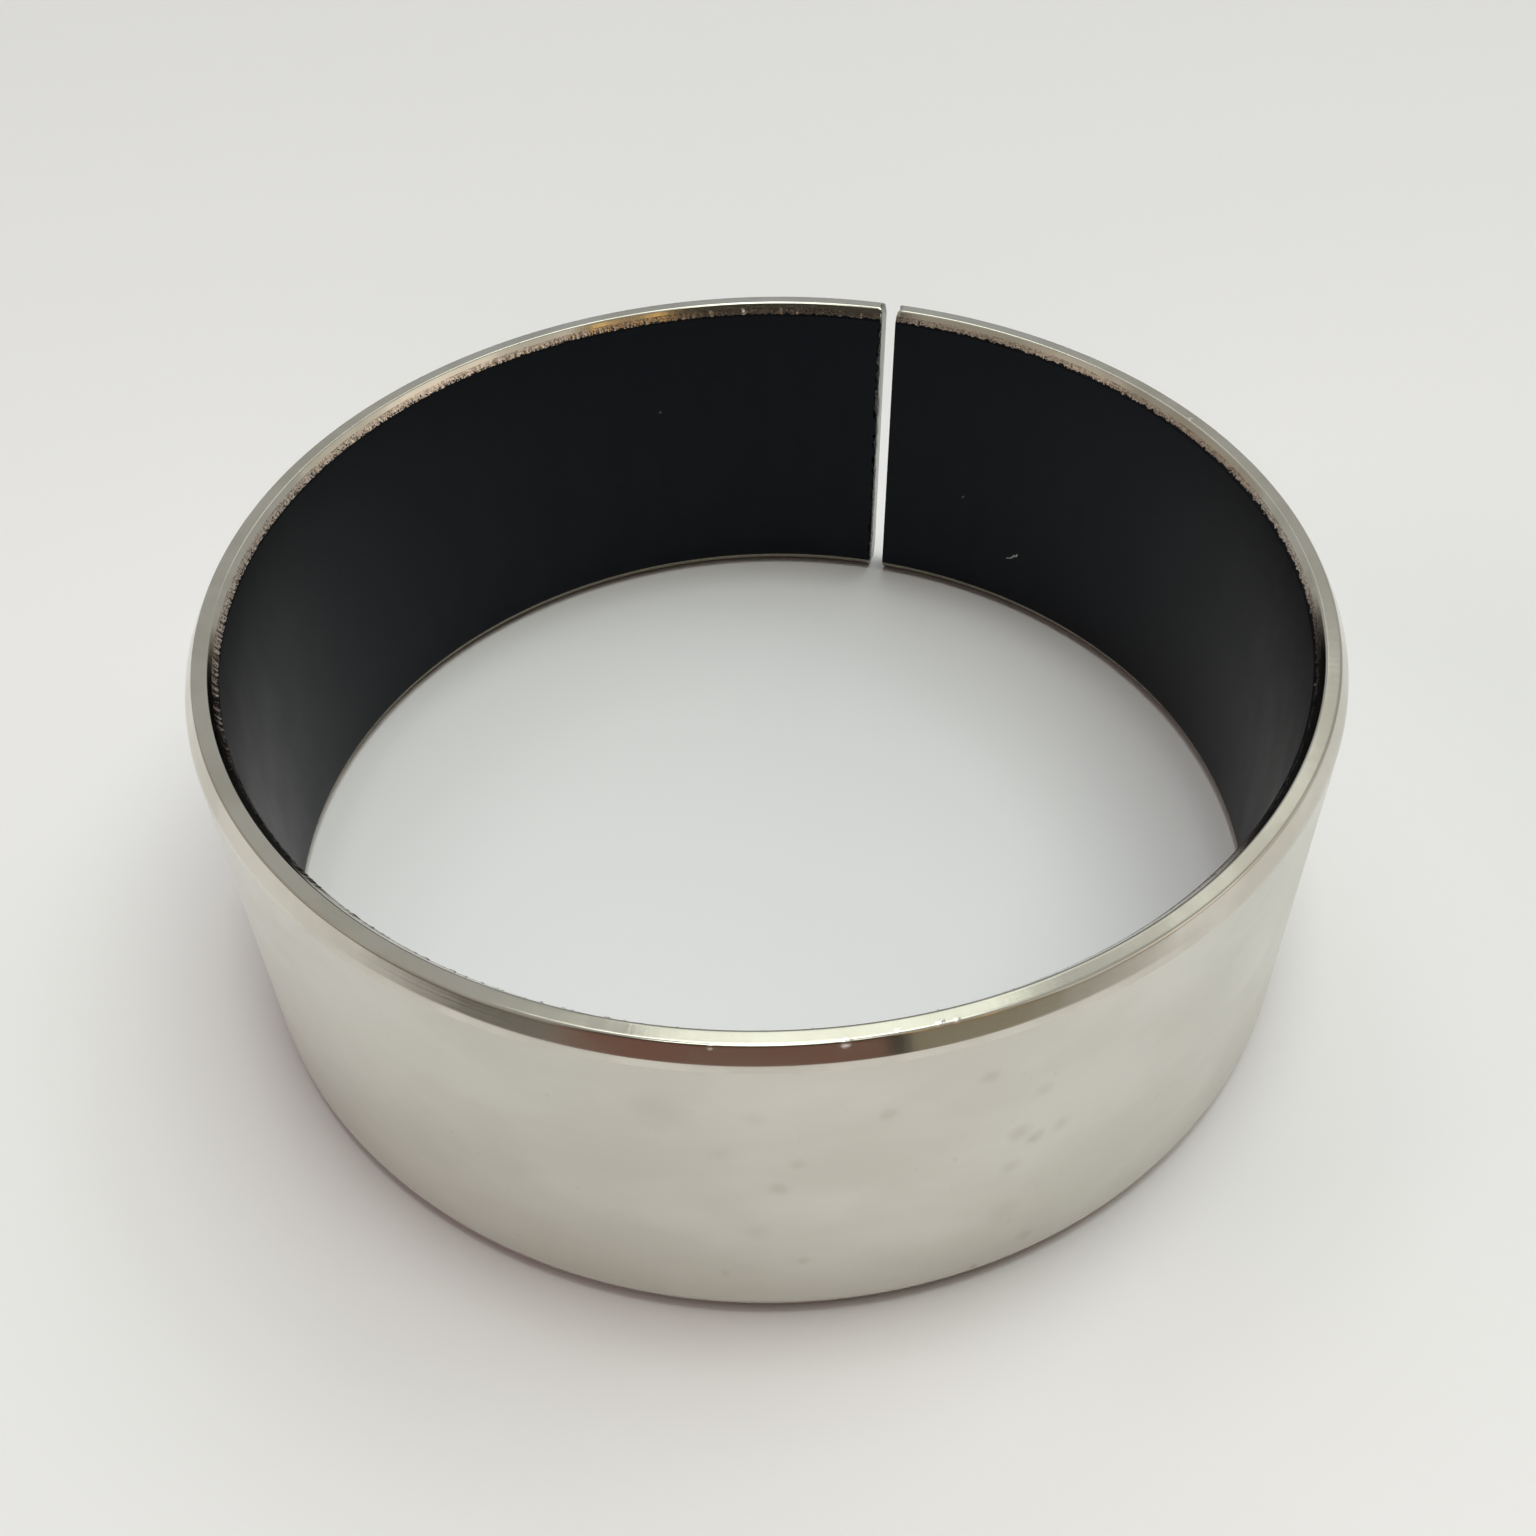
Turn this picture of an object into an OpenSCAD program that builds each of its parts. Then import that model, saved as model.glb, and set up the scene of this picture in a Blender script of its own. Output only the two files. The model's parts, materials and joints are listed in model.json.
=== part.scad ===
// Split plain bush for a shaft: a flat strip of three bonded layers, rolled round
// until its two ends almost meet. It stands on one end face, with its axis on Z
// and the open joint on the +Y side. Sizes are in millimetres.

/* [Bush] */
// Bore, across the black lining
bore_d = 80; // [40:1:120]
// Wall, from the lining to the outside
wall = 2.5; // [2.3:0.1:4]
// Length along the axis
bush_length = 30; // [12:1:60]

/* [Layers] */
// Thickness of the porous bronze sintered on the steel
bronze_t = 0.35; // [0.2:0.05:0.5]
// Thickness of the black lining rolled into the bronze
lining_t = 0.05; // [0.05:0.01:0.2]

/* [Chamfers] */
// Inner chamfer, measured across the end face
inner_chamfer_r = 0.7; // [0.5:0.05:1]
// Inner chamfer, measured along the bore
inner_chamfer_h = 1; // [0.4:0.1:1.5]
// Outer chamfer, measured across the end face
outer_chamfer_r = 0.75; // [0.3:0.05:0.8]
// Outer chamfer, measured along the outside
outer_chamfer_h = 1.35; // [1:0.05:2.4]
// Radius that deburring leaves on both edges of the end face
edge_r = 0.25; // [0.05:0.05:0.25]
// Radius where the inner chamfer meets the bore
bore_edge_r = 0.1; // [0.05:0.05:0.3]
// Radius where the outer chamfer runs out into the outside
runout_r = 1.2; // [0.2:0.1:2]

/* [Open joint] */
// Width of the open joint between the strip's two ends
joint_w = 1.35; // [0.3:0.05:4]
// Lean of the joint from the axis, in degrees, towards +X at the top
joint_lean = 0.9; // [-3:0.1:3]
// Radius on the four corners of the strip, beside the joint
joint_corner_r = 0.2; // [0.1:0.05:1]

/* [Hidden] */
$fn = 180;

bore_r = bore_d / 2;
outer_r = bore_r + wall;
// Radii at which one layer meets the next
lining_back_r = bore_r + lining_t;
bronze_back_r = lining_back_r + bronze_t;
// How far the joint has moved sideways when it reaches an end face
lean_shift = tan(joint_lean) * bush_length / 2;
// Segments in each rounded edge
edge_steps = 3;
// How far a cutting shape runs past the surface that it cuts
over = 1;

function unit(v) = v / norm(v);

// Points of an arc of radius r that rounds corner b of the path a, b, c
function rounded_corner(a, b, c, r) =
    let (to_a = unit(a - b),
         to_c = unit(c - b),
         half = acos(to_a * to_c) / 2,
         centre = b + unit(to_a + to_c) * r / sin(half),
         start = b + to_a * r / tan(half) - centre,
         turn = (180 - 2 * half) * sign(start[0] * to_a[1] - start[1] * to_a[0]))
    [for (i = [0 : edge_steps])
        let (t = -turn * i / edge_steps)
        centre + [start[0] * cos(t) - start[1] * sin(t),
                  start[0] * sin(t) + start[1] * cos(t)]];

// Corners of the wall's section at one end of the bush, from the bore outwards:
// radius, height above the middle and the radius that rounds the corner
end_corners = [
    [bore_r, bush_length / 2 - inner_chamfer_h, bore_edge_r],
    [bore_r + inner_chamfer_r, bush_length / 2, edge_r],
    [outer_r - outer_chamfer_r, bush_length / 2, edge_r],
    [outer_r, bush_length / 2 - outer_chamfer_h, runout_r]];

// Whole section of the wall in radius and height, alike at both ends
function wall_outline() =
    let (far_end = [for (i = [3 : -1 : 0])
             [end_corners[i][0], -end_corners[i][1], end_corners[i][2]]],
         corners = concat(end_corners, far_end),
         points = [for (c = corners) [c[0], c[1]]],
         n = len(points))
    [for (i = [0 : n - 1])
        each rounded_corner(points[(i + n - 1) % n], points[i], points[(i + 1) % n], corners[i][2])];

// The part of the wall's section that lies between two radii
module layer_section(from_r, to_r) {
    intersection() {
        translate([0, bush_length / 2])
            polygon(wall_outline());
        translate([from_r, -over])
            square([to_r - from_r, bush_length + 2 * over]);
    }
}

// One rounded corner of the strip beside the joint, seen along the radius. The
// points run from the joint's side onto the end face and then off the bush.
function strip_corner(side, end) =
    let (corner = [side * joint_w / 2 + end * lean_shift, end * bush_length / 2],
         other_end = [side * joint_w / 2 - end * lean_shift, -end * bush_length / 2],
         arc = rounded_corner(other_end, corner, corner + [side, 0], joint_corner_r))
    concat(arc, [arc[edge_steps] + [0, end * over]]);

function reversed(list) = [for (i = [len(list) - 1 : -1 : 0]) list[i]];

// Outline of the open joint seen along the radius: a slot with rounded mouths
function joint_outline() =
    concat(strip_corner(1, 1), reversed(strip_corner(-1, 1)),
           strip_corner(-1, -1), reversed(strip_corner(1, -1)));

// Cuts the open joint through the wall on the +Y side
module open_joint() {
    translate([0, outer_r + over, bush_length / 2])
        rotate([90, 0, 0])
            linear_extrude(height = wall + 2 * over)
                polygon(joint_outline());
}

// One layer of the rolled strip, open at the joint
module rolled_layer(from_r, to_r) {
    difference() {
        rotate([0, 0, 90])
            rotate_extrude()
                layer_section(from_r, to_r);
        open_joint();
    }
}

// Tin-plated steel that carries the bush and fills the housing's bore
module steel_backing() {
    color("silver")
        rolled_layer(bronze_back_r, outer_r + over);
}

// Porous bronze, seen as a grainy band on the inner chamfers
module bronze_layer() {
    color("peru")
        rolled_layer(lining_back_r, bronze_back_r);
}

// Black low-friction lining that the shaft runs on
module bearing_lining() {
    color("black")
        rolled_layer(bore_r - over, lining_back_r);
}

steel_backing();
bronze_layer();
bearing_lining();
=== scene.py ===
"""Looks of a split plain bush: tin-plated steel, sintered bronze and a black lining."""

import json
import math

import bmesh
import bpy
from bpy.props import FloatProperty, FloatVectorProperty, PointerProperty
from mathutils import Matrix, Vector, noise


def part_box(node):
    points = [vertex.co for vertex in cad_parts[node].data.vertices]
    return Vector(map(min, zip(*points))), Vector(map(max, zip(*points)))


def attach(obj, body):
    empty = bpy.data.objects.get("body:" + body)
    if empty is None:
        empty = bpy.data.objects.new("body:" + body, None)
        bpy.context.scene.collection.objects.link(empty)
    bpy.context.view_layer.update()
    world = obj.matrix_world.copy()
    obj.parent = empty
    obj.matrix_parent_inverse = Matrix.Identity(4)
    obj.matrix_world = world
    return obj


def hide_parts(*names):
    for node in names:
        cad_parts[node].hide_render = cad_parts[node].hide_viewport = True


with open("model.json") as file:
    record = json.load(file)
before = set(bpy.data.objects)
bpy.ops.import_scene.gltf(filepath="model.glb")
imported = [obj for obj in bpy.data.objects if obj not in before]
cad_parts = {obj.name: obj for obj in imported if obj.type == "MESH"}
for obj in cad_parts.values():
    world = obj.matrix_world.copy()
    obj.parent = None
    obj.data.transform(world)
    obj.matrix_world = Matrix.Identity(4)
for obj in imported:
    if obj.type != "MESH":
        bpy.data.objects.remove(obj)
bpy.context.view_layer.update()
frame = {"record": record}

bl_info = {
    "name": "Split Plain Bush",
    "version": (1, 0, 0),
    "blender": (4, 5, 0),
    "location": "3D View > Sidebar > Bush",
    "description": "Rolled plain bush of three bonded layers, open at its joint",
    "category": "Add Mesh",
}

MM = 0.001
MOUNTS = {mount["name"]: mount for mount in frame["record"]["mounts"]}


def layer_outer_radius(node):
    """Outer radius of one layer, from the sides of its CAD box that the joint leaves whole."""
    low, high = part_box(node)
    return min(-low[0], -low[1], high[0])


def srgb(hex_colour):
    """Linear colour of an sRGB hex value such as "c8c4b8"."""
    parts = [int(hex_colour[i:i + 2], 16) / 255 for i in (0, 2, 4)]
    linear = [c / 12.92 if c <= 0.04045 else ((c + 0.055) / 1.055) ** 2.4 for c in parts]
    return (*linear, 1.0)


# Settings

def length_property(name, description, default):
    """A length in metres that a user may change."""
    return FloatProperty(name=name, description=description, default=default, min=0.0,
                         unit="LENGTH", precision=5)


def angle_property(name, description, degrees):
    """An angle that a user may change."""
    return FloatProperty(name=name, description=description, default=math.radians(degrees),
                         subtype="ANGLE")


def colour_property(name, description, hex_colour):
    """A linear colour that a user may change."""
    return FloatVectorProperty(name=name, description=description, subtype="COLOR", size=4,
                               min=0.0, max=1.0, default=srgb(hex_colour))


class BushSizes(bpy.types.PropertyGroup):
    """Sizes of the rolled wall and of the open joint."""

    bore_radius: length_property(
        "Bore radius", "From the axis to the black lining", MOUNTS["bore"]["dims"]["r_mm"] * MM)
    lining_back: length_property(
        "Lining's back", "Radius at which the lining meets the bronze",
        layer_outer_radius("bearing_lining"))
    bronze_back: length_property(
        "Bronze's back", "Radius at which the bronze meets the steel",
        layer_outer_radius("bronze_layer"))
    outer_radius: length_property(
        "Outer radius", "From the axis to the outside", layer_outer_radius("steel_backing"))
    length: length_property(
        "Length", "Length of the bush along its axis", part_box("steel_backing")[1][2])
    inner_chamfer_across: length_property(
        "Inner chamfer across", "Inner chamfer measured across the end face", 0.7 * MM)
    inner_chamfer_along: length_property(
        "Inner chamfer along", "Inner chamfer measured along the bore", 1.0 * MM)
    outer_chamfer_across: length_property(
        "Outer chamfer across", "Outer chamfer measured across the end face", 0.75 * MM)
    outer_chamfer_along: length_property(
        "Outer chamfer along", "Outer chamfer measured along the outside", 1.35 * MM)
    edge_radius: length_property(
        "Edge radius", "Radius left by deburring on the end face's edges", 0.25 * MM)
    bore_edge_radius: length_property(
        "Bore edge radius", "Radius where the inner chamfer meets the bore", 0.1 * MM)
    runout_radius: length_property(
        "Run-out radius", "Radius where the outer chamfer runs out", 1.2 * MM)
    joint_width: length_property(
        "Joint width", "Width of the open joint between the strip's ends", 1.35 * MM)
    joint_corner: length_property(
        "Joint corner radius", "Radius on the strip's corners beside the joint", 0.3 * MM)
    joint_lean: angle_property("Joint lean", "Angle between the joint and the axis", 0.9)
    cut_edge: length_property(
        "Cut edge radius", "Rounding on the edges of the strip's cut ends", 0.06 * MM)
    burr: length_property(
        "Burr", "How far the shear's ragged line wanders along one cut end", 0.3 * MM)
    chamfer_offset: angle_property(
        "Chamfer offset", "Where the off-centre inner chamfer is shallowest", 17.07)
    grain: length_property(
        "Bronze grain", "Size of the sintered grains, as coarse as they need to show", 0.16 * MM)


class BushColours(bpy.types.PropertyGroup):
    """Colours of the finishes."""

    tin: colour_property("Tin plating", "Bright rolled tin on the steel", "dbd9d1")
    stain: colour_property("Stain", "Dull finger and oil marks on the tin", "a39d8e")
    turned: colour_property("Turned steel", "Steel that the chamfer tool has cut", "d8d4ca")
    nick: colour_property("Nicks", "Fresh metal in the nicks on the rim", "ffffff")
    # Painted shade: a brown colour that stands in for the contact shade at the outer chamfer's foot
    foot_shade: colour_property("Foot shade", "Brown painted shade at the foot of the outer chamfer", "8a7a6e")
    sheared: colour_property("Sheared steel", "Grey steel on the strip's cut ends", "c8c9c5")
    torn: colour_property("Torn steel", "Dark line and hollows of the cut ends", "3f3d39")
    bronze: colour_property("Sintered bronze", "Porous bronze that the chamfer cuts", "dccfc3")
    bronze_dark: colour_property("Dark bronze", "Duller grains of the bronze", "988b80")
    # Painted light: a pale colour low inside the bush for the light that the lower edges catch
    low_edge_light: colour_property("Lit edge", "Lit bronze low on the bush, inside", "a09a88")
    lining: colour_property("Lining", "Black polymer in the bore and in the pores", "0a0b0e")
    lining_cloud: colour_property("Lining's clouds", "Paler patches of the lining", "101114")
    lining_sheen: colour_property("Lining's sheen", "Tint of the lining's gloss", "dfeaff")
    dust: colour_property("Dust", "Pale specks pressed into the lining", "d0d0cc")
    floor: colour_property("Floor", "Plain pale paper that the bush stands on", "eeeeec")
    # Painted shade: the paper's colour far from the camera, greyer than near it
    floor_far_shade: colour_property("Far floor", "The paper far from the camera", "dddddb")


class StageSizes(bpy.types.PropertyGroup):
    """Camera of the studio."""

    lens: FloatProperty(name="Lens", description="Focal length on a 36 mm wide sensor, in mm",
                        default=39.258, min=1.0)
    distance: length_property("Camera distance", "From the bush's middle to the camera", 0.1354)
    elevation: angle_property("Camera elevation", "Camera angle above the floor", 43.17)
    azimuth: angle_property("Camera azimuth", "Camera angle about the axis", 17.07)
    roll: angle_property("Camera roll", "Turn of the picture about its middle", -1.465)
    aside: length_property("Camera aside", "Sideways step of the camera", 0.0000083)
    above: length_property("Camera above", "Step of the camera up the picture", 0.001778)
    shift: FloatProperty(name="Lens shift", description="Shift up, as a share of the width",
                         default=-0.04264)


# Materials

# A fade between two values with no kink at either end
SMOOTH = {"interpolation_type": "SMOOTHSTEP"}


def add_node(tree, kind, inputs=None, **settings):
    """Adds a shader node, makes its settings, and sets or links its inputs."""
    node = tree.nodes.new("ShaderNode" + kind)
    for name, value in settings.items():
        setattr(node, name, value)
    connect(tree, node, inputs or {})
    return node


def connect(tree, node, inputs):
    """Sets or links inputs, each by name or number; a node stands for its first output in use."""
    in_use = [socket for socket in node.inputs if socket.enabled]
    for key, value in inputs.items():
        socket = in_use[key] if isinstance(key, int) else next(s for s in in_use if s.name == key)
        if isinstance(value, bpy.types.Node):
            value = next(s for s in value.outputs if s.enabled)
        if isinstance(value, bpy.types.NodeSocket):
            tree.links.new(value, socket)
        else:
            socket.default_value = value


def new_material(name):
    """A node material with an empty tree, its Principled shader and its output."""
    material = bpy.data.materials.new(name)
    material.use_nodes = True
    tree = material.node_tree
    tree.nodes.clear()
    shader = add_node(tree, "BsdfPrincipled")
    add_node(tree, "OutputMaterial", {"Surface": shader})
    return material, tree, shader


def noise_at(tree, place, size, detail=2.0, stretch=(1, 1, 1)):
    """Noise from 0 to 1 whose features are about one size wide, times the stretch, in metres."""
    scale = [1 / (size * s) for s in stretch]
    scaled = add_node(tree, "VectorMath", {0: place, 1: scale}, operation="MULTIPLY")
    return add_node(tree, "TexNoise", {"Vector": scaled, "Scale": 1.0, "Detail": detail})


def strip_place(tree, sizes):
    """Place on the strip in metres: round from the front, out from the axis and up the height."""
    where = add_node(tree, "TexCoord").outputs["Object"]
    part = add_node(tree, "SeparateXYZ", {"Vector": where}).outputs
    flat = add_node(tree, "VectorMath", {0: where, 1: (1, 1, 0)}, operation="MULTIPLY")
    radius = add_node(tree, "VectorMath", {0: flat}, operation="LENGTH")
    front = add_node(tree, "Math", {0: part["Y"], 1: -1.0}, operation="MULTIPLY")
    angle = add_node(tree, "Math", {0: part["X"], 1: front}, operation="ARCTAN2")
    arc = add_node(tree, "Math", {0: angle, 1: sizes.outer_radius}, operation="MULTIPLY")
    return add_node(tree, "CombineXYZ", {"X": arc, "Y": radius, "Z": part["Z"]})


def marks_at(tree, place, sizes, marks):
    """Field from 0 to 1, high at each mark of a list, with wavy outlines."""
    wave, wander = 0.7 * MM, 0.6 * MM
    wobble = noise_at(tree, place, wave)
    shifted = add_node(tree, "VectorMath", {0: wobble, 1: (wander, 0, wander), 2: place},
                       operation="MULTIPLY_ADD")
    field = 0.0
    for degrees, radius, height, reach, depth in marks:
        centre = (math.radians(degrees) * sizes.outer_radius + wander / 2, radius * MM,
                  height * MM + wander / 2)
        gap = add_node(tree, "VectorMath", {0: shifted, 1: centre}, operation="DISTANCE")
        mark = add_node(tree, "MapRange", {"Value": gap, "From Min": reach * MM, "From Max": 0.0,
                                           "To Min": 0.0, "To Max": depth}, **SMOOTH)
        field = add_node(tree, "Math", {0: field, 1: mark}, operation="MAXIMUM")
    return field


# Each mark is degrees from the front, then radius, height and reach in mm, then depth to 1
# Dull spots on the outside
OUTSIDE_MARKS = (
    (7.4, 42.5, 23.9, 2.6, 0.35), (15.2, 42.5, 23.7, 1.1, 0.3), (12.4, 42.5, 19.9, 1.2, 0.3),
    (18.6, 42.5, 18.7, 0.9, 0.5), (17.0, 42.5, 16.0, 1.1, 0.7), (25.9, 42.5, 23.1, 0.9, 0.6),
    (34.4, 42.5, 24.6, 1.0, 0.6), (15.0, 42.5, 10.8, 1.4, 0.3), (19.0, 42.5, 7.0, 0.7, 0.6),
    (12.0, 42.5, 5.4, 0.6, 0.5), (39.7, 42.5, 21.1, 1.1, 0.5), (37.9, 42.5, 17.2, 1.3, 0.7),
    (39.5, 42.5, 15.9, 1.0, 0.8), (42.1, 42.5, 16.2, 1.0, 0.5), (37.5, 42.5, 13.5, 1.1, 0.5),
    (37.5, 42.5, 8.1, 1.9, 0.4), (40.1, 42.5, 3.5, 1.0, 0.6), (35.0, 42.5, 1.7, 0.6, 1.0))
# Pale specks on the lining, most of them in a row as one fibre
LINING_SPECKS = (
    *((160.3 - 0.15 * i, 40.0, 6.0 + 0.09 * i, 0.14, 1.0) for i in range(11)),
    (167.8, 40.0, 11.5, 0.25, 0.25), (-149.1, 40.0, 19.5, 0.25, 0.3))
# Bright nicks on the rim
RIM_NICKS = (
    (22.5, 41.75, 29.95, 0.5, 1.0), (30.2, 41.5, 30.0, 0.35, 0.9), (31.5, 41.6, 30.0, 0.3, 0.8),
    (12.0, 41.85, 29.95, 0.3, 0.6), (26.7, 41.5, 30.0, 0.3, 0.5), (136.0, 41.0, 30.0, 0.35, 0.8))


def tinned_steel(sizes, colours):
    """Tin-plated steel strip, rolled bright: a soft mirror with dull spots and faint waves."""
    material, tree, shader = new_material("tinned_steel_rolled")
    place = strip_place(tree, sizes)
    marks = marks_at(tree, place, sizes, OUTSIDE_MARKS)
    cloud = noise_at(tree, place, 9 * MM, detail=4.0, stretch=(1.5, 1, 1))
    fine = noise_at(tree, place, 0.9 * MM, detail=3.0)
    skin = noise_at(tree, place, 0.35 * MM, detail=3.0, stretch=(2, 1, 1))
    specks = add_node(tree, "MapRange", {"Value": fine, "From Min": 0.68, "From Max": 0.8,
                                         "To Max": 0.2}, **SMOOTH)
    spots = add_node(tree, "Math", {0: marks, 1: 0.42}, operation="MULTIPLY")
    dull = add_node(tree, "Math", {0: spots, 1: specks}, operation="MAXIMUM")
    hazy = add_node(tree, "MapRange", {"Value": cloud, "From Min": 0.35, "From Max": 0.65,
                                       "To Max": 0.16}, **SMOOTH)
    clean = add_node(tree, "Mix", {"Factor": hazy, "A": colours.tin, "B": colours.stain},
                     data_type="RGBA")
    connect(tree, shader, {
        "Metallic": 1.0,
        "Base Color": add_node(tree, "Mix", {"Factor": dull, "A": clean, "B": colours.stain},
                               data_type="RGBA"),
        "Roughness": add_node(tree, "MapRange", {"Value": cloud, "From Min": 0.3, "From Max": 0.7,
                                                 "To Min": 0.29, "To Max": 0.35}, **SMOOTH),
        "Normal": add_node(tree, "Bump", {"Height": skin, "Distance": 0.0012 * MM})})
    return material


def turned_steel(sizes, colours):
    """Steel cut by a chamfer tool: bright, with fine rings round the axis and a few nicks."""
    material, tree, shader = new_material("steel_turned")
    place = strip_place(tree, sizes)
    height = add_node(tree, "SeparateXYZ", {"Vector": place}).outputs["Z"]
    nicks = marks_at(tree, place, sizes, RIM_NICKS)
    rings = noise_at(tree, place, 0.05 * MM, detail=3.0, stretch=(400, 1, 1))
    chatter = noise_at(tree, place, 0.8 * MM, detail=2.0, stretch=(1, 8, 8))
    cloud = noise_at(tree, place, 5 * MM, detail=3.0)
    hazy = add_node(tree, "MapRange", {"Value": cloud, "From Min": 0.35, "From Max": 0.65,
                                       "To Max": 0.25}, **SMOOTH)
    # Painted shade: the foot of the outer chamfer is mixed towards brown, standing in for its
    # contact shade
    low = add_node(tree, "MapRange", {"Value": height, "From Min": 1.6 * MM,
                                      "From Max": 0.6 * MM, "To Max": 0.7}, **SMOOTH)
    clean = add_node(tree, "Mix", {"Factor": hazy, "A": colours.turned, "B": colours.stain},
                     data_type="RGBA")
    foot_shaded = add_node(tree, "Mix", {"Factor": low, "A": clean, "B": colours.foot_shade},
                     data_type="RGBA")
    relief = add_node(tree, "Bump", {"Height": rings, "Distance": 0.0012 * MM})
    relief = add_node(tree, "Bump", {"Height": chatter, "Distance": 0.004 * MM, "Normal": relief})
    relief = add_node(tree, "Bump", {"Height": nicks, "Distance": 0.02 * MM, "Normal": relief})
    connect(tree, shader, {
        "Metallic": 1.0,
        "Base Color": add_node(tree, "Mix", {"Factor": nicks, "A": foot_shaded, "B": colours.nick},
                               data_type="RGBA"),
        "Roughness": add_node(tree, "MapRange", {"Value": cloud, "From Min": 0.3, "From Max": 0.7,
                                                 "To Min": 0.1, "To Max": 0.17}, **SMOOTH),
        "Normal": relief})
    return material


def sheared_steel(sizes, colours):
    """Steel cut by a shear: smooth grey along one side, torn and blotched beyond a dark line."""
    material, tree, shader = new_material("steel_sheared")
    place = strip_place(tree, sizes)
    radius = add_node(tree, "SeparateXYZ", {"Vector": place}).outputs["Y"]
    wander = noise_at(tree, place, 1.4 * MM, detail=4.0)
    grit = noise_at(tree, place, 0.3 * MM, detail=4.0)
    streaks = noise_at(tree, place, 0.1 * MM, detail=3.0, stretch=(8, 8, 1))
    line = add_node(tree, "Math", {0: wander, 1: 1.6 * MM, 2: sizes.bronze_back + 0.25 * MM},
                    operation="MULTIPLY_ADD")
    beyond = add_node(tree, "Math", {0: radius, 1: line}, operation="SUBTRACT")
    away = add_node(tree, "Math", {0: beyond}, operation="ABSOLUTE")
    torn = add_node(tree, "MapRange", {"Value": beyond, "From Min": 0.08 * MM,
                                       "From Max": -0.08 * MM}, **SMOOTH)
    edge = add_node(tree, "MapRange", {"Value": away, "From Min": 0.2 * MM,
                                       "From Max": 0.02 * MM, "To Max": 0.5}, **SMOOTH)
    hollows = add_node(tree, "MapRange", {"Value": grit, "From Min": 0.42, "From Max": 0.56,
                                          "To Min": 0.2, "To Max": 0.9}, **SMOOTH)
    blotches = add_node(tree, "Math", {0: torn, 1: hollows}, operation="MULTIPLY")
    dark = add_node(tree, "Math", {0: edge, 1: blotches}, operation="MAXIMUM")
    relief = add_node(tree, "Mix", {"Factor": torn, "A": streaks, "B": grit})
    connect(tree, shader, {
        "Metallic": add_node(tree, "MapRange", {"Value": dark, "To Min": 0.6, "To Max": 0.2},
                             **SMOOTH),
        "Base Color": add_node(tree, "Mix", {"Factor": dark, "A": colours.sheared,
                                             "B": colours.torn}, data_type="RGBA"),
        "Roughness": add_node(tree, "MapRange", {"Value": torn, "To Min": 0.4, "To Max": 0.6},
                              **SMOOTH),
        "Normal": add_node(tree, "Bump", {"Height": relief, "Distance": 0.05 * MM})})
    return material


def sintered_bronze(sizes, colours):
    """Sintered bronze cut by a tool: warm and streaked, with black pores beside the lining."""
    material, tree, shader = new_material("bronze_sintered")
    place = strip_place(tree, sizes)
    part = add_node(tree, "SeparateXYZ", {"Vector": place}).outputs
    where = add_node(tree, "TexCoord").outputs["Object"]
    pores = noise_at(tree, where, sizes.grain, detail=3.0)
    streaks = noise_at(tree, place, 0.06 * MM, detail=3.0, stretch=(30, 1, 1))
    grains = add_node(tree, "TexVoronoi", {"Vector": where, "Scale": 1 / sizes.grain})
    tone = add_node(tree, "SeparateColor", {"Color": grains.outputs["Color"]})
    depth = add_node(tree, "Math", {0: part["Y"], 1: sizes.lining_back}, operation="SUBTRACT")
    fewer = add_node(tree, "Math", {0: depth, 1: -0.65 / MM, 2: pores}, operation="MULTIPLY_ADD")
    filled = add_node(tree, "MapRange", {"Value": fewer, "From Min": 0.46, "From Max": 0.52},
                      **SMOOTH)
    patchy = add_node(tree, "Math", {0: tone, 1: 0.35, 2: streaks}, operation="MULTIPLY_ADD")
    dull = add_node(tree, "MapRange", {"Value": patchy, "From Min": 0.45, "From Max": 0.95},
                    **SMOOTH)
    metal = add_node(tree, "Mix", {"Factor": dull, "A": colours.bronze, "B": colours.bronze_dark},
                     data_type="RGBA")
    relief = add_node(tree, "Bump", {"Height": pores, "Distance": 0.005 * MM})
    relief = add_node(tree, "Bump", {"Height": streaks, "Distance": 0.002 * MM, "Normal": relief})
    # Painted light: the lower chamfer is paler for the light it catches, rougher and less like
    # metal
    low = add_node(tree, "MapRange", {"Value": part["Z"], "From Min": 1.6 * MM,
                                      "From Max": 1.0 * MM}, **SMOOTH)
    low_metal = add_node(tree, "MapRange", {"Value": low, "To Min": 1.0, "To Max": 0.3}, **SMOOTH)
    low_fill = add_node(tree, "MapRange", {"Value": low, "To Min": 1.0, "To Max": 0.4}, **SMOOTH)
    low_rough = add_node(tree, "MapRange", {"Value": low, "To Max": 0.5}, **SMOOTH)
    metal = add_node(tree, "Mix", {"Factor": low, "A": metal, "B": colours.low_edge_light},
                     data_type="RGBA")
    bare = add_node(tree, "Math", {0: 1.0, 1: filled}, operation="SUBTRACT")
    black = add_node(tree, "Math", {0: filled, 1: low_fill}, operation="MINIMUM")
    rough = add_node(tree, "MapRange", {"Value": filled, "To Min": 0.16, "To Max": 0.6},
                     **SMOOTH)
    connect(tree, shader, {
        "Metallic": add_node(tree, "Math", {0: bare, 1: low_metal}, operation="MULTIPLY"),
        "Base Color": add_node(tree, "Mix", {"Factor": black, "A": metal, "B": colours.lining},
                               data_type="RGBA"),
        "Roughness": add_node(tree, "Math", {0: rough, 1: low_rough}, operation="MAXIMUM"),
        "Normal": relief})
    return material


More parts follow.
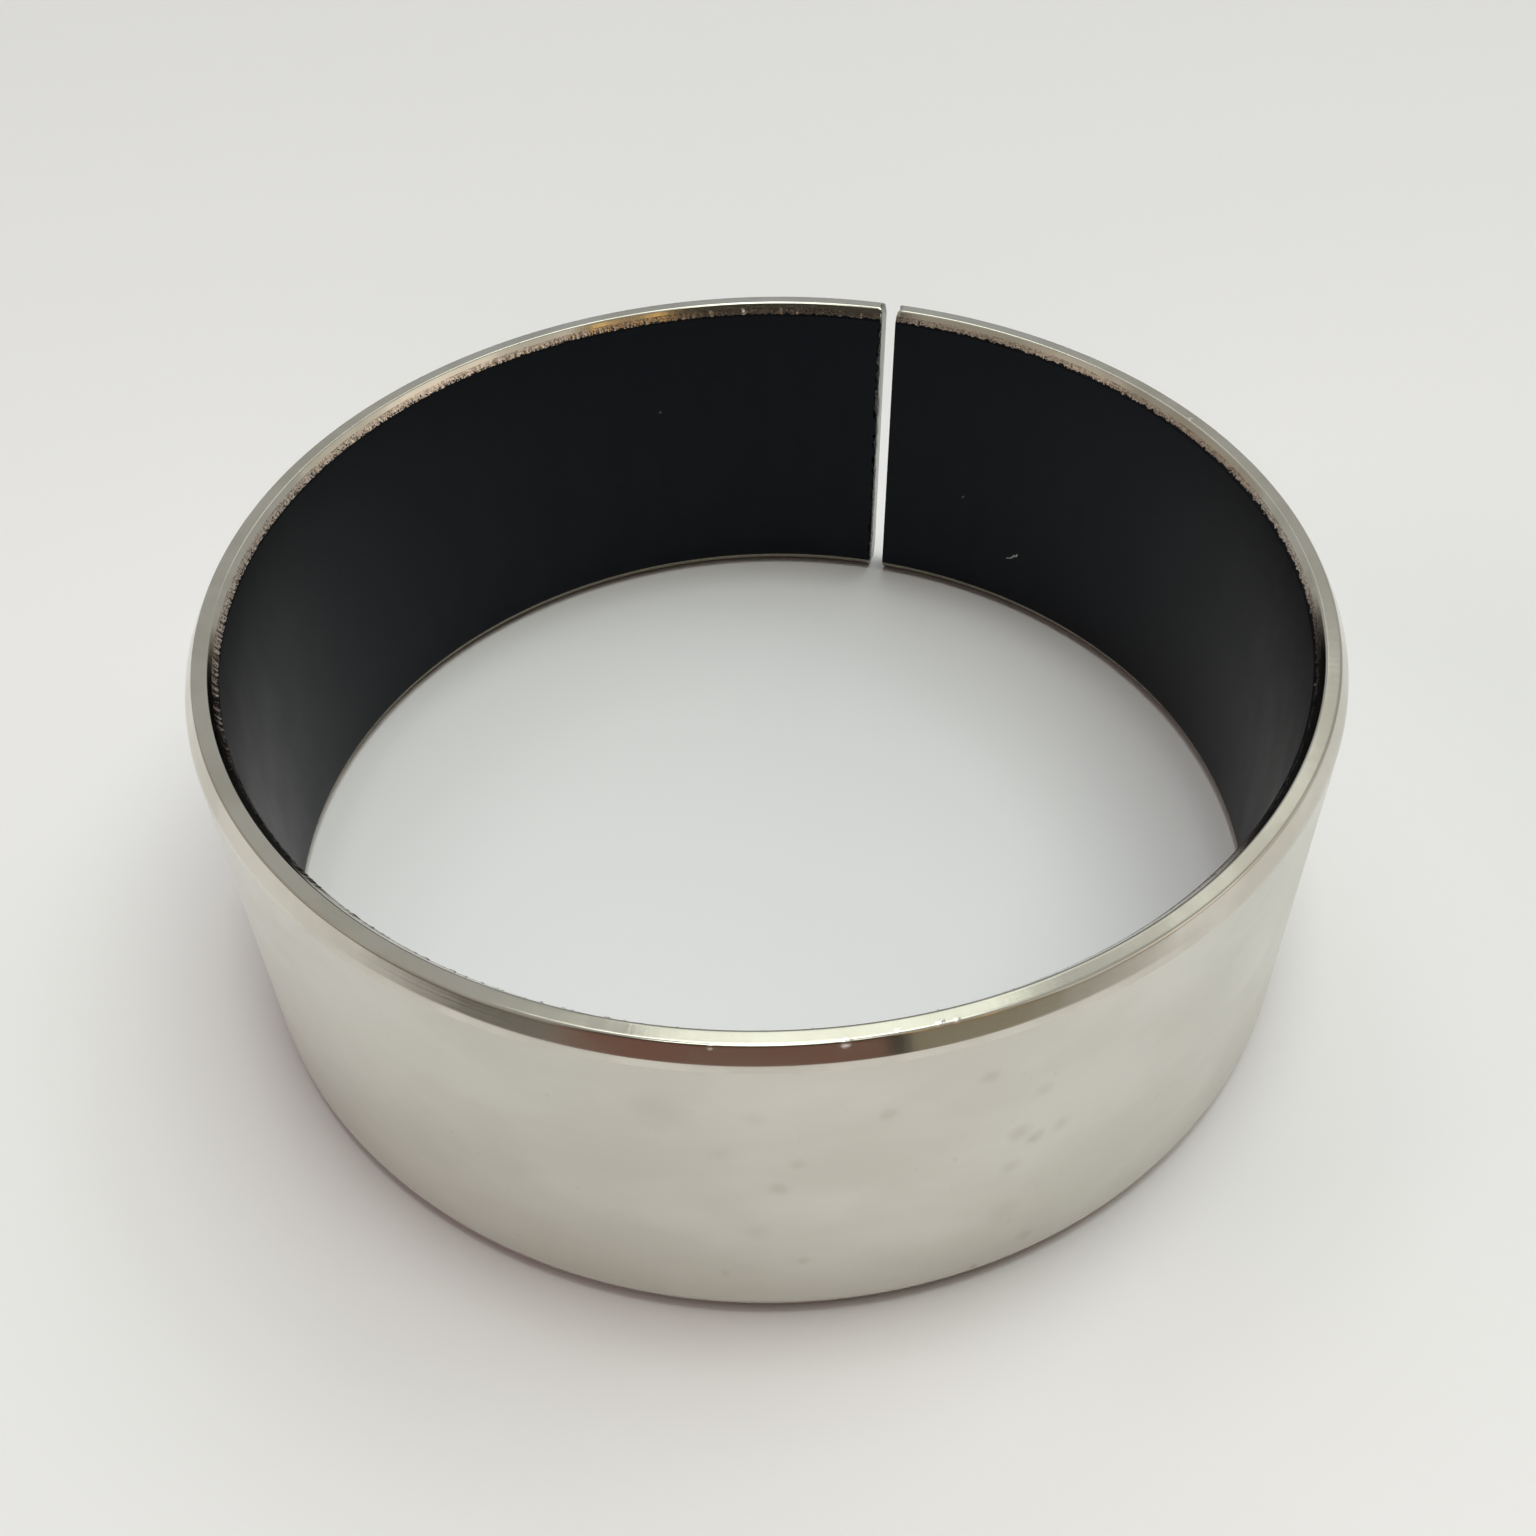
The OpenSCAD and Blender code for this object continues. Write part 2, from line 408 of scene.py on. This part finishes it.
def black_lining(sizes, colours):
    """Filled polymer rolled smooth: dull black, a soft sheen and a painted highlight at its lower
    edge.
    """
    material, tree, shader = new_material("black_lining_rolled")
    place = strip_place(tree, sizes)
    height = add_node(tree, "SeparateXYZ", {"Vector": place}).outputs["Z"]
    cloud = noise_at(tree, place, 4 * MM, detail=3.0, stretch=(1, 1, 2))
    grit = noise_at(tree, place, 0.15 * MM, detail=2.0)
    specks = marks_at(tree, place, sizes, LINING_SPECKS)
    cloudy = add_node(tree, "MapRange", {"Value": cloud, "From Min": 0.3, "From Max": 0.7},
                      **SMOOTH)
    # Painted highlight: a ragged pale band along the lining's lower edge
    ragged = add_node(tree, "Math", {0: grit, 1: 0.1 * MM, 2: height}, operation="MULTIPLY_ADD")
    low_edge_light = add_node(tree, "MapRange", {"Value": ragged, "From Min": 1.2 * MM,
                                       "From Max": 1.08 * MM}, **SMOOTH)
    shade = add_node(tree, "Mix", {"Factor": cloudy, "A": colours.lining,
                                   "B": colours.lining_cloud}, data_type="RGBA")
    shade = add_node(tree, "Mix", {"Factor": low_edge_light, "A": shade, "B": colours.low_edge_light},
                     data_type="RGBA")
    connect(tree, shader, {
        "Base Color": add_node(tree, "Mix", {"Factor": specks, "A": shade, "B": colours.dust},
                               data_type="RGBA"),
        "Roughness": add_node(tree, "MapRange", {"Value": cloud, "From Min": 0.3, "From Max": 0.7,
                                                 "To Min": 0.3, "To Max": 0.36}, **SMOOTH),
        "IOR": 1.35,
        "Specular IOR Level": 0.27,
        "Specular Tint": colours.lining_sheen,
        "Normal": add_node(tree, "Bump", {"Height": grit, "Distance": 0.002 * MM})})
    return material


def pale_paper(colours, azimuth):
    """Matt paper with no gloss, with painted shade that greys it away from the camera."""
    material, tree, shader = new_material("floor_paper")
    where = add_node(tree, "TexCoord").outputs["Object"]
    away = (-math.sin(azimuth), math.cos(azimuth), 0)
    depth = add_node(tree, "VectorMath", {0: where, 1: away}, operation="DOT_PRODUCT")
    # Painted shade: the paper turns greyer with distance from the camera
    far = add_node(tree, "MapRange", {"Value": depth, "From Min": -100 * MM,
                                      "From Max": 230 * MM}, **SMOOTH)
    connect(tree, shader, {
        "Base Color": add_node(tree, "Mix", {"Factor": far, "A": colours.floor,
                                             "B": colours.floor_far_shade}, data_type="RGBA"),
        "Roughness": 0.9,
        "Specular IOR Level": 0.2})
    return material


def studio_card(name, colour):
    """Evenly lit card: its colour is the light that it sends to the metal."""
    material = bpy.data.materials.new(name)
    material.use_nodes = True
    material.cycles.emission_sampling = "NONE"
    tree = material.node_tree
    tree.nodes.clear()
    light = add_node(tree, "Emission", {"Color": (*colour, 1.0), "Strength": 1.0})
    add_node(tree, "OutputMaterial", {"Surface": light})
    return material


# Shapes

# The steps round the axis divide by the sectors, and the two thin layers need fine ones for grain
SECTORS = 12
STEEL_STEPS = 960
FINE_STEPS = 2400
BRONZE_ROWS = 7
CUT_END_ROWS = 300
ARC_STEPS, SMALL_ARC_STEPS = 8, 3
# A layer's cut goes this far beyond a face of the wall that it leaves whole
CLEAR = 1 * MM
# A cut end's edges longer than this get the rows that its torn line needs
LONG_EDGE = 1 * MM
# Points closer than this are one point, and radii or angles closer than these are the same
SAME_POINT, SAME_RADIUS, SAME_ANGLE = 1e-7, 1e-6, 1e-5
# A chamfer's edges run more than the first across, and are shorter than the second
SLOPE_ACROSS, SLOPE_LENGTH = 0.1 * MM, 2 * MM
# Walls longer than the first get a narrow row of the second beside each arc
LONG_WALL, NARROW_ROW = 0.3 * MM, 0.08 * MM
# How far beyond its chamfer a layer's ragged border or finish may reach
BORDER_REACH = 0.3 * MM
# How far round from the joint the strip is eased onto the joint's sides
JOINT_REACH = math.radians(8)
SHARP_ANGLE = math.radians(32)
# Two steps of a rounded edge: width and rise, as shares of its radius
ROUNDED_STEPS = ((0.3, 0.7), (0.7, 0.3))
# Torn edge: its middle, then each wave's length, share and place in the noise
TEAR_MIDDLE = 0.55
TEAR_WAVES = ((0.7 * MM, 1.0, (0.4, 0.3)), (0.25 * MM, 1.3, (9.4, 0.3)))
# Ragged border: its middle, its off-centre step and its least, then each wave's length and rise
BORDER_MIDDLE, BORDER_OFF_CENTRE, BORDER_LEAST = 0.06 * MM, 0.1 * MM, -0.06 * MM
BORDER_WAVES = ((0.5 * MM, 0.2 * MM), (0.22 * MM, 0.18 * MM))
# The two ends' borders are this far apart in the noise, so that they aren't alike
NOISE_GAP = 7
# Grains rise by up to the first, and not within the second of a layer's edge
GRAIN_RISE, GRAIN_MARGIN = 0.005 * MM, 0.02 * MM


def rounded_corner(before, corner, after, radius, steps):
    """Points of an arc that rounds a corner of an outline."""
    to_before = (before - corner).normalized()
    to_after = (after - corner).normalized()
    half = to_before.angle(to_after) / 2
    centre = corner + (to_before + to_after).normalized() * radius / math.sin(half)
    start = corner + to_before * radius / math.tan(half) - centre
    end = corner + to_after * radius / math.tan(half) - centre
    turn = start.angle_signed(end)
    return [centre + Matrix.Rotation(-turn * i / steps, 2) @ start for i in range(steps + 1)]


def wall_outline(sizes):
    """Outline of the wall's section in radius and height, rounded, with rows beside each arc."""
    inner, outer, top = sizes.bore_radius, sizes.outer_radius, sizes.length
    corners = [
        (inner, top - sizes.inner_chamfer_along, sizes.bore_edge_radius, SMALL_ARC_STEPS),
        (inner + sizes.inner_chamfer_across, top, sizes.edge_radius, ARC_STEPS),
        (outer - sizes.outer_chamfer_across, top, sizes.edge_radius, ARC_STEPS),
        (outer, top - sizes.outer_chamfer_along, sizes.runout_radius, ARC_STEPS),
    ]
    corners += [(r, top - z, radius, steps) for r, z, radius, steps in reversed(corners)]
    points = [Vector(c[:2]) for c in corners]
    following = points[1:] + points[:1]
    arcs = [rounded_corner(points[i - 1], points[i], following[i], *corners[i][2:])
            for i in range(len(points))]
    outline = []
    for i, arc in enumerate(arcs):
        flat = arcs[(i + 1) % len(arcs)][0] - arc[-1]
        outline += arc
        if flat.length > LONG_WALL:
            row = flat.normalized() * NARROW_ROW
            outline += [arc[-1] + row, arc[-1] + flat - row]
    return outline


def section(sizes, from_radius, to_radius):
    """Outline of the wall's section between two radii, on the plane where x is 0 and y is plus."""
    bm = bmesh.new()
    bm.faces.new([bm.verts.new((0, p.x, max(p.y, 0))) for p in wall_outline(sizes)])
    for radius, outwards in ((from_radius, -1), (to_radius, 1)):
        geom = bm.verts[:] + bm.edges[:] + bm.faces[:]
        bmesh.ops.bisect_plane(bm, geom=geom, dist=SAME_POINT, plane_co=(0, radius, 0),
                               plane_no=(0, outwards, 0), clear_outer=True)
    bmesh.ops.delete(bm, geom=bm.faces[:], context="FACES_ONLY")
    return bm


def end_rows(bm, sizes):
    """Cuts a thin layer's long walls just inside each chamfer, where the ragged border ends."""
    inside = sizes.inner_chamfer_along + BORDER_REACH
    for height in (inside, sizes.length - inside):
        bmesh.ops.bisect_plane(bm, geom=bm.verts[:] + bm.edges[:], dist=SAME_POINT,
                               plane_co=(0, 0, height), plane_no=(0, 0, 1))


def chamfer_rows(bm):
    """Cuts the section's two chamfers into short rows, for grain."""
    slopes = [e for e in bm.edges
              if abs(e.verts[0].co.y - e.verts[1].co.y) > SLOPE_ACROSS
              and e.calc_length() < SLOPE_LENGTH]
    bmesh.ops.subdivide_edges(bm, edges=slopes, cuts=BRONZE_ROWS)


def spin_strip(bm, sizes, steps):
    """Spins the section round the axis, and gives half the angle left open for the joint."""
    half = math.asin(sizes.joint_width / 2 / sizes.outer_radius)
    sector = (2 * math.pi - 2 * half) / SECTORS
    bmesh.ops.rotate(bm, verts=bm.verts, cent=(0, 0, 0), matrix=Matrix.Rotation(-half, 3, "Z"))
    bmesh.ops.spin(bm, geom=bm.verts[:] + bm.edges[:], cent=(0, 0, 0), axis=(0, 0, -1),
                   angle=sector, steps=steps // SECTORS, use_merge=False, use_duplicate=False)
    bmesh.ops.spin(bm, geom=bm.verts[:] + bm.edges[:] + bm.faces[:], cent=(0, 0, 0),
                   axis=(0, 0, -1), angle=sector * (SECTORS - 1), steps=SECTORS - 1,
                   use_merge=False, use_duplicate=True)
    bmesh.ops.remove_doubles(bm, verts=bm.verts, dist=SAME_POINT)
    return half


def smooth_fade(x):
    """1 at 0, 0 at 1 and beyond, with no kink at either end."""
    x = min(max(x, 0.0), 1.0)
    return 1 - x * x * (3 - 2 * x)


def shear_line(height):
    """How far a torn edge reaches at a height, from 0 to 1."""
    waves = [share * noise.noise(Vector((*place, height / length)))
             for length, share, place in TEAR_WAVES]
    return min(max(TEAR_MIDDLE + sum(waves), 0.0), 1.0)


def open_joint(bm, sizes, half, held_back, burr):
    """Moves the strip's ends onto the joint's sides: parallel, leaning, with round corners."""
    for vert in bm.verts:
        angle = math.atan2(vert.co.x, vert.co.y)
        if abs(angle) > half + JOINT_REACH:
            continue
        radius = math.hypot(vert.co.x, vert.co.y)
        side = 1 if angle > 0 else -1
        height = vert.co.z - sizes.length / 2
        offset = side * (sizes.joint_width / 2 + held_back) + height * math.tan(sizes.joint_lean)
        gone = 1 - (sizes.length / 2 - abs(height)) / sizes.joint_corner
        if gone > 0:
            offset += side * sizes.joint_corner * (1 - math.sqrt(max(0.0, 1 - gone ** 2)))
        if side < 0:
            at_end = abs(angle) < half + SAME_ANGLE
            offset -= burr * (1 - shear_line(height) if at_end else 1)
        share = smooth_fade((abs(angle) - half) / JOINT_REACH)
        angle += (math.asin(offset / radius) - side * half) * share
        vert.co.x = radius * math.sin(angle)
        vert.co.y = radius * math.cos(angle)


def beside_lining(sizes, radius):
    """Share from 0 where the bronze meets the steel to 1 where it meets the lining."""
    return (sizes.bronze_back - radius) / (sizes.bronze_back - sizes.lining_back)


def shift(vert, outwards, to_end, sizes):
    """Moves a point outwards, and towards the nearer end whatever the second step's sign."""
    scale = 1 + outwards / math.hypot(vert.co.x, vert.co.y)
    vert.co.x *= scale
    vert.co.y *= scale
    vert.co.z += math.copysign(to_end, vert.co.z - sizes.length / 2)


def grain_border(bm, sizes):
    """Makes the line where the bronze meets the lining ragged on both chamfers."""
    slope = Vector((sizes.inner_chamfer_across, sizes.inner_chamfer_along)).normalized()
    for vert in bm.verts:
        radius = math.hypot(vert.co.x, vert.co.y)
        height = vert.co.z - sizes.length / 2
        depth = sizes.length / 2 - abs(height)
        if radius < sizes.lining_back - SAME_RADIUS or depth > sizes.inner_chamfer_along:
            continue
        angle = math.atan2(vert.co.x, vert.co.y)
        place = Vector((angle * sizes.lining_back, 0, math.copysign(NOISE_GAP, height)))
        step = BORDER_MIDDLE + BORDER_OFF_CENTRE * math.sin(angle + sizes.chamfer_offset)
        step += sum(rise * noise.noise(place / length) for length, rise in BORDER_WAVES)
        step = max(step, BORDER_LEAST) * beside_lining(sizes, radius)
        shift(vert, slope.x * step, slope.y * step, sizes)


def grain_relief(bm, sizes):
    """Raises and sinks the bronze's chamfer rows into grains, most of all beside the lining."""
    slope = Vector((-sizes.inner_chamfer_along, sizes.inner_chamfer_across)).normalized()
    for vert in bm.verts:
        radius = math.hypot(vert.co.x, vert.co.y)
        depth = sizes.length / 2 - abs(vert.co.z - sizes.length / 2)
        inside = min(radius - sizes.lining_back, sizes.bronze_back - radius)
        if depth > sizes.inner_chamfer_along or inside < GRAIN_MARGIN:
            continue
        rise = GRAIN_RISE * beside_lining(sizes, radius) * noise.noise(vert.co / sizes.grain)
        shift(vert, slope.x * rise, slope.y * rise, sizes)


def add_mesh(bm, name, *materials):
    """Turns a bmesh into an object of the scene with its materials, and frees the bmesh."""
    mesh = bpy.data.meshes.new(name)
    bm.to_mesh(mesh)
    bm.free()
    for material in materials:
        mesh.materials.append(material)
    piece = bpy.data.objects.new(name, mesh)
    bpy.context.scene.collection.objects.link(piece)
    return piece


def finish_strip(bm, name, sizes, half, materials, node, round_ends=0.0):
    """Opens the joint and closes the cut ends, torn or rounded by a radius, as a finished piece."""
    if not round_ends:
        long_edges = [e for e in bm.edges if e.is_boundary and e.calc_length() > LONG_EDGE]
        bmesh.ops.subdivide_edges(bm, edges=long_edges, cuts=CUT_END_ROWS)
    open_joint(bm, sizes, half, round_ends, 0.0 if round_ends else sizes.burr)
    ends = [e for e in bm.edges if e.is_boundary]
    caps = bmesh.ops.holes_fill(bm, edges=ends, sides=0)["faces"]
    bmesh.ops.recalc_face_normals(bm, faces=bm.faces[:])
    rim = sizes.length / 2 - sizes.outer_chamfer_along - BORDER_REACH
    for face in bm.faces:
        face.smooth = True
        if len(materials) > 1 and abs(face.calc_center_median().z - sizes.length / 2) > rim:
            face.material_index = 1
    for face in caps:
        face.material_index = len(materials) - 1
    for width, rise in ROUNDED_STEPS if round_ends else ():
        bmesh.ops.inset_region(bm, faces=caps, thickness=width * round_ends,
                               depth=rise * round_ends, use_even_offset=True,
                               use_boundary=True)
    for face in caps:
        face.smooth = False
    piece = add_mesh(bm, name, *materials)
    piece.data.set_sharp_from_angle(angle=SHARP_ANGLE)
    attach(piece, "root")
    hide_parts(node)


# Operators

class BUSH_OT_steel_backing(bpy.types.Operator):
    """Build the tin-plated steel strip that carries the bush."""

    bl_idname = "bush.steel_backing"
    bl_label = "Steel Backing"

    def execute(self, context):
        sizes, colours = context.scene.bush_sizes, context.scene.bush_colours
        bm = section(sizes, sizes.bronze_back, sizes.outer_radius + CLEAR)
        half = spin_strip(bm, sizes, STEEL_STEPS)
        materials = (tinned_steel(sizes, colours), turned_steel(sizes, colours),
                     sheared_steel(sizes, colours))
        finish_strip(bm, "steel_backing_rolled", sizes, half, materials, "steel_backing",
                     round_ends=sizes.cut_edge)
        return {"FINISHED"}


class BUSH_OT_bronze_layer(bpy.types.Operator):
    """Build the sintered bronze band between the steel and the lining."""

    bl_idname = "bush.bronze_layer"
    bl_label = "Bronze Layer"

    def execute(self, context):
        sizes, colours = context.scene.bush_sizes, context.scene.bush_colours
        bm = section(sizes, sizes.lining_back, sizes.bronze_back)
        end_rows(bm, sizes)
        chamfer_rows(bm)
        half = spin_strip(bm, sizes, FINE_STEPS)
        grain_border(bm, sizes)
        grain_relief(bm, sizes)
        bronze = sintered_bronze(sizes, colours)
        finish_strip(bm, "bronze_layer_sintered", sizes, half,
                     (bronze, bronze, sheared_steel(sizes, colours)), "bronze_layer")
        return {"FINISHED"}


class BUSH_OT_bearing_lining(bpy.types.Operator):
    """Build the black lining that the shaft runs on."""

    bl_idname = "bush.bearing_lining"
    bl_label = "Bearing Lining"

    def execute(self, context):
        sizes, colours = context.scene.bush_sizes, context.scene.bush_colours
        bm = section(sizes, sizes.bore_radius - CLEAR, sizes.lining_back)
        end_rows(bm, sizes)
        half = spin_strip(bm, sizes, FINE_STEPS)
        grain_border(bm, sizes)
        finish_strip(bm, "bearing_lining_rolled", sizes, half,
                     (black_lining(sizes, colours),), "bearing_lining")
        return {"FINISHED"}


# Cards that only gloss sees: name, azimuth from and to, elevation from and to, and light.
# Angles are in degrees, azimuth from the camera's side towards the picture's right.
# The first card is the nearest to the bush and covers what is behind it.
CARDS = (
    ("card_left_floor", -82, -34, -3, 13, (0.15, 0.14, 0.12)),
    ("card_far_left_floor", -112, -82, -3, 12, (0.52, 0.5, 0.44)),
    ("card_right_floor", 46, 66, -3, 12, (0.36, 0.335, 0.285)),
    ("card_back_window", 161.5, 190, 51, 63, (1.26, 1.33, 1.2)),
    ("card_back_window_top", 150, 210, 63, 89, (3.0, 3.1, 2.8)),
    ("card_ceiling", -30, 24, 58, 89, (3.0, 3.1, 2.8)),
    ("card_right_back", 147, 170, 41.5, 54, (0.9, 0.92, 0.85)),
    ("card_back_low", 165, 195, 20, 38, (0.44, 0.46, 0.47)),
    ("card_back_horizon", 155, 205, -3, 10, (0.05, 0.045, 0.04)),
    ("card_horizon_right", 148, 155, -3, 10, (0.2, 0.19, 0.17)),
    ("card_horizon_left", 205, 212, -3, 10, (0.2, 0.19, 0.17)),
    ("card_black_edge", 17, 20, -1, 24, (0.03, 0.03, 0.025)),
    ("card_red_brown", -34, 17, -1, 24, (0.19, 0.1, 0.075)),
    ("card_olive", 20, 46, -1, 24, (0.27, 0.235, 0.17)),
    ("card_dark_brown", -36, 22, 24, 56, (0.055, 0.048, 0.036)),
    ("card_gold_near", 23, 26, 35, 44, (1.9, 1.15, 0.35)),
    ("card_gold_far", 36, 39, 34, 42, (2.4, 1.45, 0.45)),
    ("card_gold_wall", 22, 44, 24, 56, (0.3, 0.235, 0.15)),
    ("card_right_window", 64, 90, 22, 42, (1.02, 0.93, 0.8)),
    ("card_right_wall", 42, 112, 12, 48, (0.66, 0.62, 0.54)),
    ("card_left_window", -88, -66, 22, 42, (0.54, 0.49, 0.42)),
    ("card_left_wall", -124, -36, 12, 48, (0.37, 0.34, 0.29)))
# Distance of the first card and step to the next, in metres, and steps up and round each card
CARD_DISTANCE, CARD_STEP = 0.5, 0.01
CARD_ROWS, CARD_COLUMNS = 12, 16

# Soft lights that matt surfaces see: name, azimuth and elevation in degrees, side, watts, tint
SOFTBOXES = (
    ("softbox_overhead", 180, 88, 0.75, 22.5, "fdfffe"),
    ("softbox_high_right", 60, 70, 1.5, 14.6, "fffaee"),
    ("softbox_high_back_right", 120, 70, 1.5, 20.3, "edfeff"),
    ("softbox_high_back_left", 240, 70, 1.5, 8.7, "ffffff"),
    ("softbox_back_right", 120, 45, 1.8, 16.0, "fff2f2"),
    ("softbox_back", 180, 45, 1.8, 14.8, "f5fcff"),
    ("softbox_front", 0, 18, 1.8, 13.6, "ffe9e6"),
    ("softbox_left", -90, 18, 1.8, 26.5, "ffe2e1"))
SOFTBOX_DISTANCE = 3.0

# Light of the room that gloss sees beyond the cards
ROOM_LIGHT = (0.44, 0.445, 0.425, 1.0)
FLOOR_HALF_SIDE = 1.5


def add_card(name, azimuths, elevations, distance, turn, light):
    """A card on a sphere about the bush, seen by reflections only."""
    bm = bmesh.new()
    low, high = elevations
    start = bm.verts.new((0, -distance * math.cos(low), distance * math.sin(low)))
    bmesh.ops.spin(bm, geom=[start], cent=(0, 0, 0), axis=(-1, 0, 0), angle=high - low,
                   steps=CARD_ROWS)
    bmesh.ops.rotate(bm, verts=bm.verts, cent=(0, 0, 0),
                     matrix=Matrix.Rotation(turn + azimuths[0], 3, "Z"))
    bmesh.ops.spin(bm, geom=bm.verts[:] + bm.edges[:], cent=(0, 0, 0), axis=(0, 0, 1),
                   angle=azimuths[1] - azimuths[0], steps=CARD_COLUMNS)
    card = add_mesh(bm, name, studio_card(name, light))
    card.visible_camera = False
    card.visible_diffuse = False
    card.visible_shadow = False


def direction(azimuth, elevation):
    """Unit step from the bush, at an azimuth from the front and an elevation."""
    level = Vector((0, -math.cos(elevation), math.sin(elevation)))
    return Matrix.Rotation(azimuth, 3, "Z") @ level


def add_softbox(name, azimuth, elevation, size, power, tint):
    """Square soft light that gloss doesn't see, because the cards stand in for it there."""
    lamp = bpy.data.lights.new(name, "AREA")
    lamp.size = size
    lamp.energy = power
    lamp.color = srgb(tint)[:3]
    light = bpy.data.objects.new(name, lamp)
    bpy.context.scene.collection.objects.link(light)
    light.location = direction(azimuth, elevation) * SOFTBOX_DISTANCE
    light.rotation_mode = "QUATERNION"
    light.rotation_quaternion = light.location.to_track_quat("Z", "Y")
    light.visible_glossy = False


class BUSH_OT_stage(bpy.types.Operator):
    """Set up the pale floor, the studio light and the camera."""

    bl_idname = "bush.stage"
    bl_label = "Stage"

    def execute(self, context):
        scene = context.scene
        turn = scene.bush_stage.azimuth
        self.add_floor(scene)
        self.add_world(scene)
        for name, azimuth, elevation, size, power, tint in SOFTBOXES:
            add_softbox(name, turn + math.radians(azimuth), math.radians(elevation), size,
                        power, tint)
        for i, (name, left, right, low, high, light) in enumerate(CARDS):
            add_card(name, (math.radians(left), math.radians(right)),
                     (math.radians(low), math.radians(high)), CARD_DISTANCE + CARD_STEP * i,
                     turn, light)
        self.add_camera(scene)
        scene.view_settings.view_transform = "Standard"
        return {"FINISHED"}

    def add_floor(self, scene):
        """Pale paper under the bush."""
        bm = bmesh.new()
        bmesh.ops.create_grid(bm, x_segments=1, y_segments=1, size=FLOOR_HALF_SIDE)
        paper = pale_paper(scene.bush_colours, scene.bush_stage.azimuth)
        add_mesh(bm, "floor", paper)

    def add_world(self, scene):
        """Even grey room for gloss, and the far floor's painted shade for the camera."""
        world = bpy.data.worlds.new("studio")
        world.use_nodes = True
        tree = world.node_tree
        tree.nodes.clear()
        path = add_node(tree, "LightPath").outputs
        colour = add_node(tree, "Mix", {"Factor": path["Is Camera Ray"], "A": ROOM_LIGHT,
                                        "B": scene.bush_colours.floor_far_shade}, data_type="RGBA")
        seen = add_node(tree, "Math", {0: path["Is Camera Ray"], 1: path["Is Glossy Ray"]},
                        operation="MAXIMUM")
        room = add_node(tree, "Background", {"Color": colour, "Strength": seen})
        add_node(tree, "OutputWorld", {"Surface": room})
        scene.world = world

    def add_camera(self, scene):
        """Camera of the photograph: aimed at the bush's middle, then stepped and rolled."""
        sizes, stage = scene.bush_sizes, scene.bush_stage
        data = bpy.data.cameras.new("camera")
        data.lens = stage.lens
        data.shift_y = stage.shift
        data.clip_start = 10 * MM
        camera = bpy.data.objects.new("camera", data)
        scene.collection.objects.link(camera)
        back = direction(stage.azimuth, stage.elevation)
        right = Matrix.Rotation(stage.azimuth, 3, "Z") @ Vector((1, 0, 0))
        up = back.cross(right)
        rolled_right = math.cos(stage.roll) * right + math.sin(stage.roll) * up
        rolled_up = math.cos(stage.roll) * up - math.sin(stage.roll) * right
        camera.location = (Vector((0, 0, sizes.length / 2)) + back * stage.distance
                           + rolled_right * stage.aside + rolled_up * stage.above)
        axes = Matrix((rolled_right, rolled_up, back)).transposed()
        camera.rotation_mode = "QUATERNION"
        camera.rotation_quaternion = axes.to_quaternion()
        scene.camera = camera


class BUSH_PT_panel(bpy.types.Panel):
    """Buttons and sizes of the bush."""

    bl_idname = "BUSH_PT_panel"
    bl_label = "Split Plain Bush"
    bl_space_type = "VIEW_3D"
    bl_region_type = "UI"
    bl_category = "Bush"

    def draw(self, context):
        layout = self.layout
        for operator in OPERATORS:
            layout.operator(operator.bl_idname)
        for group in (context.scene.bush_sizes, context.scene.bush_colours,
                      context.scene.bush_stage):
            column = layout.column(align=True)
            for name in group.__annotations__:
                column.prop(group, name)


OPERATORS = (BUSH_OT_stage, BUSH_OT_steel_backing, BUSH_OT_bronze_layer, BUSH_OT_bearing_lining)
GROUPS = {"bush_sizes": BushSizes, "bush_colours": BushColours, "bush_stage": StageSizes}
CLASSES = (*GROUPS.values(), *OPERATORS, BUSH_PT_panel)


def register():
    """Registers every class and puts the settings on the scene."""
    for cls in CLASSES:
        bpy.utils.register_class(cls)
    for name, group in GROUPS.items():
        setattr(bpy.types.Scene, name, PointerProperty(type=group))


def unregister():
    """Takes the settings and every class away again."""
    for name in GROUPS:
        delattr(bpy.types.Scene, name)
    for cls in reversed(CLASSES):
        bpy.utils.unregister_class(cls)


def main():
    """Builds the stage and every piece in order."""
    register()
    bpy.ops.bush.stage()
    bpy.ops.bush.steel_backing()
    bpy.ops.bush.bronze_layer()
    bpy.ops.bush.bearing_lining()


if __name__ == "__main__":
    main()
